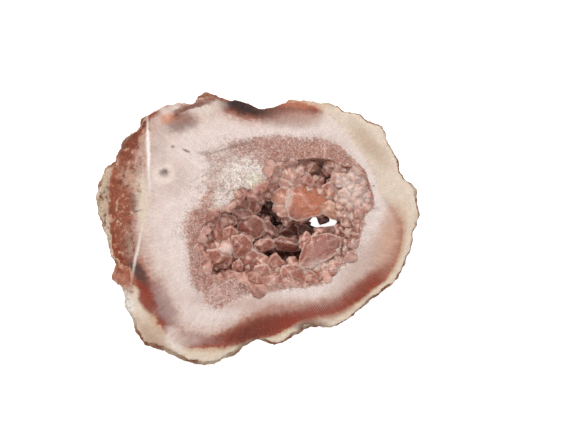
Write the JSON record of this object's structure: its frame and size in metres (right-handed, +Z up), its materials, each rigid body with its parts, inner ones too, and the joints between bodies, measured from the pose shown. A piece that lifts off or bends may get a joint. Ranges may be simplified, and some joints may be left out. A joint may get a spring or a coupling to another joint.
{
  "type": "geode half",
  "caption": "Sawn half of a pink quartz geode: banded chalcedony wall with a rough rind, and a hollow lined with crystals.",
  "frame": {"origin": "centre of the outline, on the surface the geode half lies on", "axes": "+Z up, out of the sawn face; +X along the longest side of the sawn face; +Y across it"},
  "size_m": [0.115, 0.098, 0.038],
  "materials": {
    "banded_rock": "sawn chalcedony with a rusty band and a rough weathered rind",
    "rose_quartz": "translucent, glossy crystal faces",
    "pale_quartz": "translucent, frosted and glossy crystal faces",
    "amber_quartz": "translucent, satin crystal faces",
    "crimson_quartz": "translucent, glossy crystal faces",
    "smoky_quartz": "dark translucent, glossy crystal faces"
  },
  "bodies": {
    "root": {"geode_wall": "banded_rock", "crystal_amber_ledge": "amber_quartz", "crystal_back_red": "crimson_quartz", "crystal_back_smoky": "smoky_quartz", "crystal_below_hole": "smoky_quartz", "crystal_big_round": "rose_quartz", "crystal_bottom_brown": "amber_quartz", "crystal_bottom_east_sawn": "rose_quartz", "crystal_bottom_facet": "pale_quartz", "crystal_bottom_pale_sawn": "pale_quartz", "crystal_bottom_right_granular": "rose_quartz", "crystal_bottom_sawn": "pale_quartz", "crystal_bottom_west_block": "rose_quartz", "crystal_bright_small": "pale_quartz", "crystal_bright_tip": "pale_quartz", "crystal_brown_upper": "amber_quartz", "crystal_centre_right": "rose_quartz", "crystal_crimson_shard": "crimson_quartz", "crystal_dark_hex_east": "smoky_quartz", "crystal_dark_hex_west": "smoky_quartz", "crystal_glint_knob": "pale_quartz", "crystal_left_block": "rose_quartz", "crystal_left_hanging": "pale_quartz", "crystal_left_ledge": "rose_quartz", "crystal_left_low": "rose_quartz", "crystal_left_sawn": "pale_quartz", "crystal_long_lying": "rose_quartz", "crystal_lower_hex": "rose_quartz", "crystal_mauve_sawn": "rose_quartz", "crystal_orange_left": "amber_quartz", "crystal_orange_lower": "amber_quartz", "crystal_orange_slab": "amber_quartz", "crystal_pale_rimmed": "pale_quartz", "crystal_pale_step": "pale_quartz", "crystal_pink_step": "rose_quartz", "crystal_pink_upper_west": "rose_quartz", "crystal_right_brown": "amber_quartz", "crystal_right_brown_low": "amber_quartz", "crystal_right_druse_high": "rose_quartz", "crystal_right_druse_low": "rose_quartz", "crystal_right_druse_mid": "rose_quartz", "crystal_right_low_sawn": "rose_quartz", "crystal_right_mid_sawn": "rose_quartz", "crystal_right_outer_sawn": "pale_quartz", "crystal_right_pink_knob": "rose_quartz", "crystal_right_top_sawn": "pale_quartz", "crystal_right_upper_sawn": "rose_quartz", "crystal_rose_slope": "rose_quartz", "crystal_rose_smooth": "rose_quartz", "crystal_small_pale_knob": "pale_quartz", "crystal_smooth_red": "crimson_quartz", "crystal_tan_lobe": "amber_quartz", "crystal_tan_upper": "amber_quartz", "crystal_under_ledge": "crimson_quartz", "crystal_upper_left_block": "rose_quartz", "crystal_upper_low_block": "rose_quartz", "crystal_upper_mid_block": "rose_quartz", "crystal_white_needle": "pale_quartz"}
  },
  "joints": []
}
